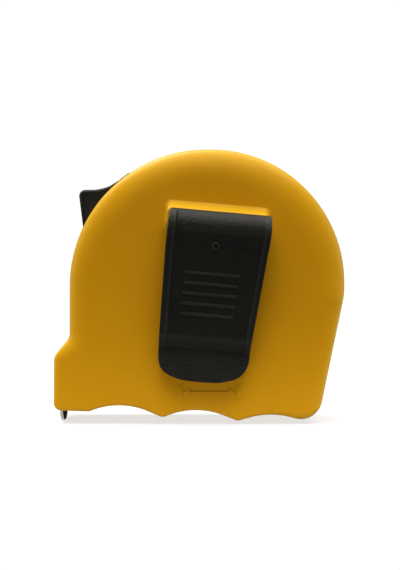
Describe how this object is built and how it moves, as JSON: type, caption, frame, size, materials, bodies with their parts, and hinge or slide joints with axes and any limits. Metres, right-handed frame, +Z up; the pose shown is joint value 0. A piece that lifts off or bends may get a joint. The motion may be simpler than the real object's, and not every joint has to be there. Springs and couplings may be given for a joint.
{
  "type": "pocket tape measure",
  "caption": "Pocket tape measure with a rounded case, belt clip, sliding thumb lock, spring-return reel and a steel blade with a sliding end hook.",
  "frame": {"origin": "under the middle of the overall box, level with the end hook's tip, which is the lowest point", "axes": "+Z is up as the tool is held, -X is the way the blade pulls out of the mouth, -Y is the belt clip's side"},
  "size_m": [0.072, 0.041, 0.068],
  "materials": {
    "case_yellow": "moulded, soft sheen",
    "clip_black": "moulded, fine grain",
    "lock_black": "moulded, fine grain",
    "screw_steel": "zinc plated",
    "arbor_steel": "turned",
    "rivet_metal": "cold headed",
    "hook_steel": "nickel plated",
    "spring_steel": "blued",
    "blade_enamel": "enamelled, clear coat",
    "coil_enamel": "enamelled edges of wound turns",
    "drum_nylon": "moulded",
    "washer_nylon": "stamped",
    "label_film": "printed film",
    "black_rubber": "smooth"
  },
  "bodies": {
    "case": {"clip_side_shell": "case_yellow", "label_side_shell": "case_yellow", "case_screws": "screw_steel", "face_label": "label_film", "hook_bumper": "black_rubber", "arbor": "arbor_steel", "clip_side_washer": "washer_nylon", "label_side_washer": "washer_nylon"},
    "reel": {"drum": "drum_nylon", "drum_cover": "drum_nylon", "mainspring": "spring_steel", "spring_anchor_rivet": "rivet_metal", "blade_coil": "coil_enamel"},
    "blade": {"blade": "blade_enamel", "hook_rivets": "rivet_metal"},
    "hook": {"end_hook": "hook_steel"},
    "lock": {"lock_slide": "lock_black", "thumb_button": "lock_black", "brake_pad": "black_rubber"},
    "clip": {"belt_clip": "clip_black"}
  },
  "joints": [
    {"name": "reel_spin", "type": "hinge", "parent": "case", "child": "reel", "pos_m": [0.00166, 0.0045, 0.0341], "axis": [0, 1, 0], "range_deg": [0, 137], "stiffness_Nm_per_rad": 0.012, "springref_deg": -171.89, "deforming": ["mainspring"]},
    {"name": "blade_slide", "type": "slide", "parent": "case", "child": "blade", "axis": [-1, 0, 0], "range_m": [0, 0.058]},
    {"name": "hook_play", "type": "slide", "parent": "blade", "child": "hook", "axis": [-1, 0, 0], "range_m": [0, 0.0008]},
    {"name": "lock_slide", "type": "hinge", "parent": "case", "child": "lock", "pos_m": [0.00166, 0.0045, 0.0341], "axis": [0, -1, 0], "range_deg": [0, 12]},
    {"name": "clip_flex", "type": "hinge", "parent": "case", "child": "clip", "pos_m": [0.0045, -0.0132, 0.0508], "axis": [-0.9962, 0, 0.0872], "range_deg": [0, 6], "stiffness_Nm_per_rad": 1}
  ],
  "couplings": [
    {"joint": "blade_slide", "follows": "reel_spin", "m_per_rad": 0.0242}
  ]
}
